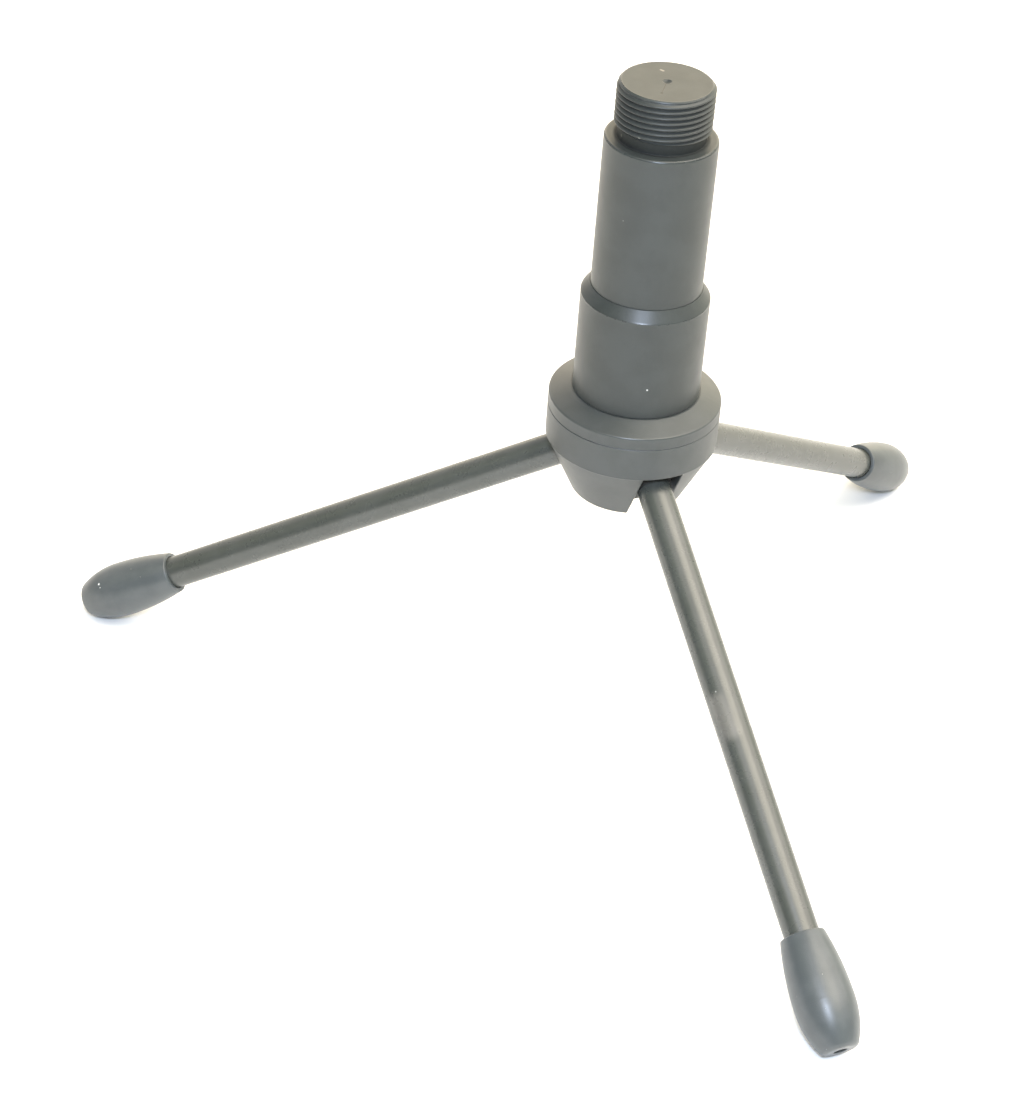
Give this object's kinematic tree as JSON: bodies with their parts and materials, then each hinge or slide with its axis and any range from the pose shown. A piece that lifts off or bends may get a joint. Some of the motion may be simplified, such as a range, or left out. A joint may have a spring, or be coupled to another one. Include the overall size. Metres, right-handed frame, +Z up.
{
  "type": "table-top tripod stand",
  "caption": "Folding table-top stand: stepped round column with an external threaded stud on top, slotted hub and hinged tube legs with rubber feet.",
  "frame": {"origin": "the point of the table top straight below the column, on the plane that the feet stand on", "axes": "+Z up along the column and out of the threaded stud; -X towards leg 1; Y across, with legs 2 and 3 either side of +X"},
  "size_m": [0.149, 0.171, 0.1206],
  "materials": {
    "column_paint": "satin black paint on turned steel",
    "hub_paint": "satin black paint on a zinc casting",
    "leg_paint": "semi-gloss black paint on steel tube",
    "foot_rubber": "matt black moulded rubber",
    "knuckle_steel": "black painted steel rod end",
    "bare_steel": "zinc-plated steel",
    "nylon": "black nylon washer"
  },
  "bodies": {
    "stand": {"upper_column": "column_paint", "lower_sleeve": "column_paint", "cap_ring": "hub_paint", "hub_body": "hub_paint", "column_screw": "bare_steel", "spring_washer": "bare_steel", "screw_washer": "bare_steel", "hinge_pin_1": "bare_steel", "hinge_pin_2": "bare_steel", "hinge_pin_3": "bare_steel"},
    "leg_1": {"leg_tube_1": "leg_paint", "leg_knuckle_1": "knuckle_steel", "hinge_washers_1": "nylon", "rubber_foot_1": "foot_rubber"},
    "leg_2": {"leg_tube_2": "leg_paint", "leg_knuckle_2": "knuckle_steel", "hinge_washers_2": "nylon", "rubber_foot_2": "foot_rubber"},
    "leg_3": {"leg_tube_3": "leg_paint", "leg_knuckle_3": "knuckle_steel", "hinge_washers_3": "nylon", "rubber_foot_3": "foot_rubber"}
  },
  "joints": [
    {"name": "leg_1_fold", "type": "hinge", "parent": "stand", "child": "leg_1", "pos_m": [-0.0083, 0, 0.05275], "axis": [0, -1, 0], "range_deg": [0, 60.4]},
    {"name": "leg_2_fold", "type": "hinge", "parent": "stand", "child": "leg_2", "pos_m": [0.00415, -0.00719, 0.05275], "axis": [0.866, 0.5, 0], "range_deg": [0, 60.4]},
    {"name": "leg_3_fold", "type": "hinge", "parent": "stand", "child": "leg_3", "pos_m": [0.00415, 0.00719, 0.05275], "axis": [-0.866, 0.5, 0], "range_deg": [0, 60.4]}
  ]
}
